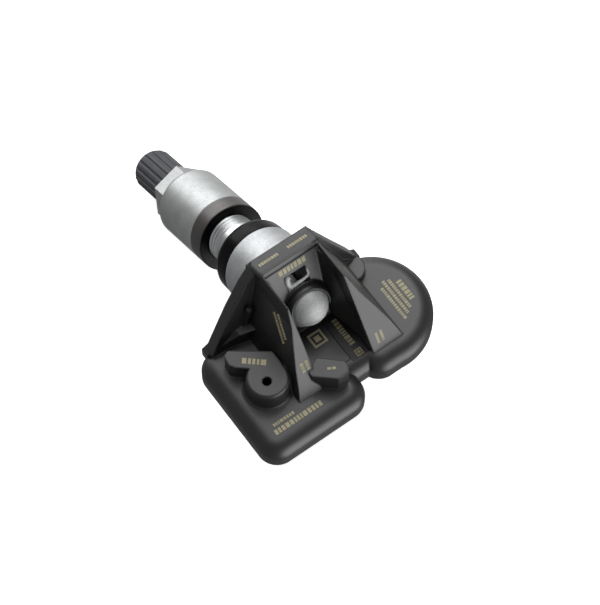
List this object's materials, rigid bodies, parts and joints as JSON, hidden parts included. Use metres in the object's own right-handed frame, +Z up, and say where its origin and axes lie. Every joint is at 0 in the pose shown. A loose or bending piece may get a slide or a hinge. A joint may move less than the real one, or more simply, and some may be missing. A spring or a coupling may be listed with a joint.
{
  "type": "tyre pressure sensor",
  "caption": "Tyre pressure sensor on a tilting clamp-in valve: two-lobed flat housing with a tall ball bracket, stem with rim seal, clamp nut, ribbed cap and valve core",
  "frame": {"origin": "on the valve's axis, in the middle of the smooth stem stretch that sits in the wheel rim", "axes": "the valve leaves towards -Y and dips 27 degrees below the plane of the base; +X is the side of the square lobe; +Z is up, square to the flat underside of the housing"},
  "size_m": [0.0519, 0.0851, 0.0469],
  "materials": {
    "housing_black": "glass-filled black plastic, fine sheen",
    "board_green": "coated circuit board",
    "parts_tan": "small fired parts",
    "chip_black": "moulded chip case",
    "seal_grey": "soft grey silicone",
    "ferrite": "dark sintered core",
    "wire_copper": "lacquered copper wire",
    "antenna_gold": "bright",
    "can_steel": "satin",
    "ball_steel": "satin grey",
    "stem_alloy": "turned",
    "collar_alloy": "bright frosted",
    "nut_alloy": "satin anodised",
    "ring_dark": "dark anodised",
    "seal_black": "glossy black",
    "cap_black": "matte dark",
    "washer_rubber": "soft",
    "core_brass": "turned",
    "core_white": "pale washer",
    "core_red": "dark red",
    "spring_steel": "wire"
  },
  "bodies": {
    "stem": {"valve_stem": "stem_alloy", "ball_bolt": "ball_steel", "stem_collar": "collar_alloy", "rim_seal": "seal_black", "core_body": "core_brass", "core_gasket": "core_white", "core_spring": "spring_steel"},
    "sensor": {"housing": "housing_black", "base_cover": "housing_black", "circuit_board": "board_green", "board_parts": "parts_tan", "sensor_chip": "chip_black", "port_seal": "seal_grey", "lf_core": "ferrite", "lf_winding": "wire_copper", "rf_antenna": "antenna_gold", "crystal": "can_steel", "round_cell": "can_steel", "cell_tab_top": "can_steel", "cell_tab_bottom": "can_steel"},
    "ring": {"slide_ring": "ring_dark"},
    "nut": {"clamp_nut": "nut_alloy"},
    "cap_inside": {"cap_seal": "washer_rubber"},
    "cap": {"valve_cap": "cap_black"},
    "pin": {"core_pin": "core_brass", "core_cup": "core_red"}
  },
  "joints": [
    {"name": "housing_tilt", "type": "hinge", "parent": "stem", "child": "sensor", "pos_m": [0, 0.0229, 0.01167], "axis": [1, 0, 0], "range_deg": [-8, 8]},
    {"name": "ring_slide", "type": "slide", "parent": "stem", "child": "ring", "axis": [0, -0.891, -0.454], "range_m": [-0.005, 0.011]},
    {"name": "nut_turn", "type": "hinge", "parent": "ring", "child": "nut", "pos_m": [0, -0.01809, -0.00922], "axis": [0, -0.891, -0.454], "range_deg": [-1800, 3960]},
    {"name": "cap_slide", "type": "slide", "parent": "stem", "child": "cap_inside", "axis": [0, -0.891, -0.454], "range_m": [0, 0.009]},
    {"name": "cap_turn", "type": "hinge", "parent": "cap_inside", "child": "cap", "pos_m": [0, -0.03324, -0.01693], "axis": [0, -0.891, -0.454], "range_deg": [0, 4090]},
    {"name": "core_press", "type": "slide", "parent": "stem", "child": "pin", "axis": [0, 0.891, 0.454], "range_m": [0, 0.001], "stiffness_N_per_m": 600, "deforming": ["core_spring"]}
  ],
  "couplings": [
    {"joint": "nut_turn", "follows": "ring_slide", "rad_per_m": 6283.2},
    {"joint": "cap_turn", "follows": "cap_slide", "rad_per_m": 7913.3}
  ]
}
